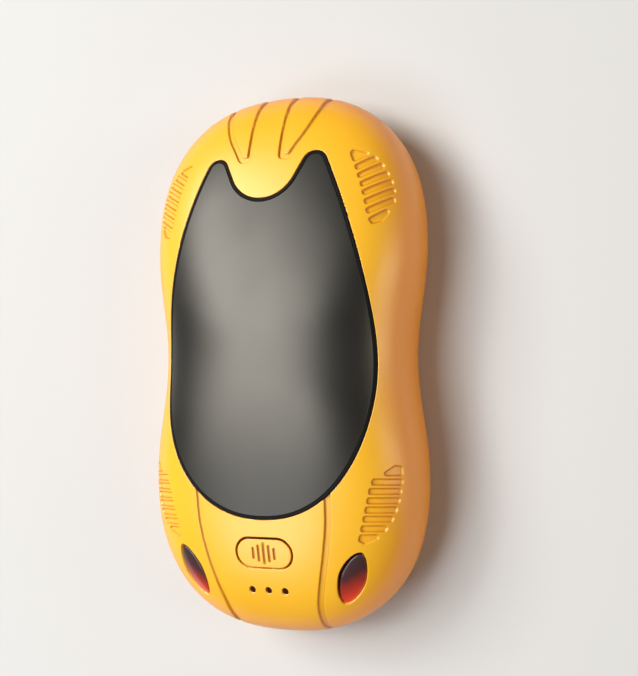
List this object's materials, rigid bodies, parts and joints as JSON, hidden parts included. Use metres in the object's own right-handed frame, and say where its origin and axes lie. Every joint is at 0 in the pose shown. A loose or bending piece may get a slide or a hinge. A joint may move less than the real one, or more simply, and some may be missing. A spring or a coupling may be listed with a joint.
{
  "type": "rechargeable hand warmer",
  "caption": "Hourglass pocket hand warmer with a domed eared heating panel, oval back plate, push button, tail lamps and charging port.",
  "frame": {"origin": "middle of the flat back face, which is the bottom centre of the box as the object lies on its back", "axes": "+Z out of the domed front face, +Y towards the eared end, -Y towards the button and charging end, +X to the right seen from the front"},
  "size_m": [0.0556, 0.1049, 0.0249],
  "materials": {
    "shell_yellow": "satin moulded ABS",
    "panel_dark": "satin anodised",
    "seal_black": "matte moulded",
    "glue_black": "matte",
    "heater_amber": "polyimide film",
    "foam_grey": "open-cell foam",
    "switch_black": "moulded",
    "plunger_red": "moulded",
    "light_guide_clear": "clear moulded",
    "led_white": "cast",
    "lens_red": "polished moulded acrylic",
    "port_metal": "nickel plated",
    "tongue_black": "moulded",
    "board_green": "solder mask",
    "chip_black": "moulded",
    "inductor_grey": "ferrite",
    "capacitor_tan": "ceramic",
    "connector_white": "moulded",
    "wire_red": "silicone insulation",
    "wire_white": "silicone insulation",
    "bead_black": "epoxy",
    "cell_silver": "laminated pouch",
    "chassis_black": "moulded",
    "screw_steel": "zinc plated",
    "insert_brass": "knurled",
    "plate_dark": "satin anodised",
    "magnet_nickel": "nickel plated"
  },
  "bodies": {
    "body": {"front_shell": "shell_yellow", "back_shell": "shell_yellow", "front_panel": "panel_dark", "panel_gasket": "seal_black", "panel_adhesive": "glue_black", "front_heater_film": "heater_amber", "front_foam": "foam_grey", "tact_switch": "switch_black", "light_guide": "light_guide_clear", "indicator_leds": "led_white", "tail_lens_left": "lens_red", "tail_lens_right": "lens_red", "tail_leds": "led_white", "usb_c_port": "port_metal", "usb_c_tongue": "tongue_black", "circuit_board": "board_green", "charge_controller": "chip_black", "boost_inductor": "inductor_grey", "board_capacitors": "capacitor_tan", "battery_connector": "connector_white", "battery_wires": "wire_red", "front_heater_wires": "wire_white", "back_heater_wires": "wire_white", "thermistor": "bead_black", "battery_cell": "cell_silver", "inner_chassis": "chassis_black", "chassis_screws": "screw_steel", "threaded_inserts": "insert_brass", "back_shell_screws": "screw_steel", "board_screws": "screw_steel", "back_plate": "plate_dark", "back_plate_seal": "seal_black", "plate_adhesive": "glue_black", "back_heater_film": "heater_amber", "back_foam": "foam_grey", "magnets": "magnet_nickel"},
    "power_button": {"power_button": "shell_yellow"},
    "switch_plunger": {"switch_plunger": "plunger_red"}
  },
  "joints": [
    {"name": "power_button_press", "type": "slide", "parent": "body", "child": "power_button", "axis": [0, 0, -1], "range_m": [0, 0.0003], "stiffness_N_per_m": 2000, "springref_m": -0.0002},
    {"name": "switch_plunger_press", "type": "slide", "parent": "body", "child": "switch_plunger", "axis": [0, 0, -1], "range_m": [0, 0.0003]}
  ],
  "couplings": [
    {"joint": "switch_plunger_press", "follows": "power_button_press", "ratio": 1}
  ]
}
